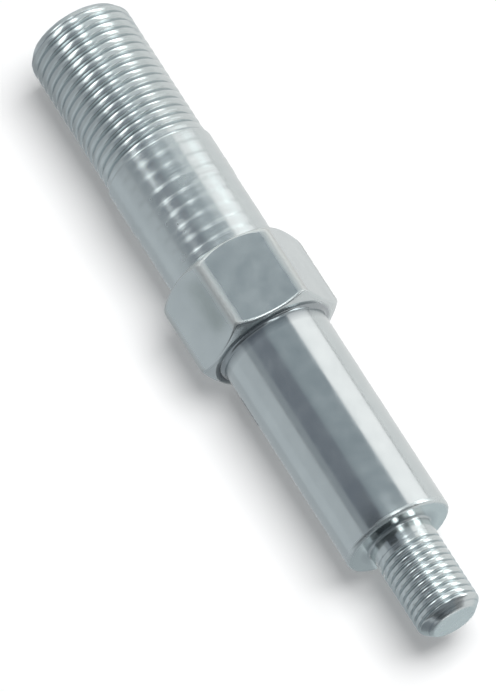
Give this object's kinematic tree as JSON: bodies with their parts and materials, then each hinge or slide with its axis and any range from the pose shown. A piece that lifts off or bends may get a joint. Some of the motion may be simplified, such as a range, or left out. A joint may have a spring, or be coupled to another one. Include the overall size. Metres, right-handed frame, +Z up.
{
  "type": "shock mount stud",
  "caption": "Zinc-plated steel stud with a hexagon, a smooth journal for a shock absorber's eye, a plain shank and a fine thread at each end.",
  "frame": {"origin": "on the stud's axis, at the middle of the journal, where the shock absorber's eye pulls", "axes": "+X along the axis from the hexagon to the small thread, +Z up, out of the hexagon's top flat, +Y out of a corner of the hexagon"},
  "size_m": [0.1033, 0.0216, 0.0188],
  "materials": {
    "zinc_plated_steel": "bright zinc plating over a turned surface"
  },
  "bodies": {
    "root": {"shock_mount_stud": "zinc_plated_steel"}
  },
  "joints": []
}
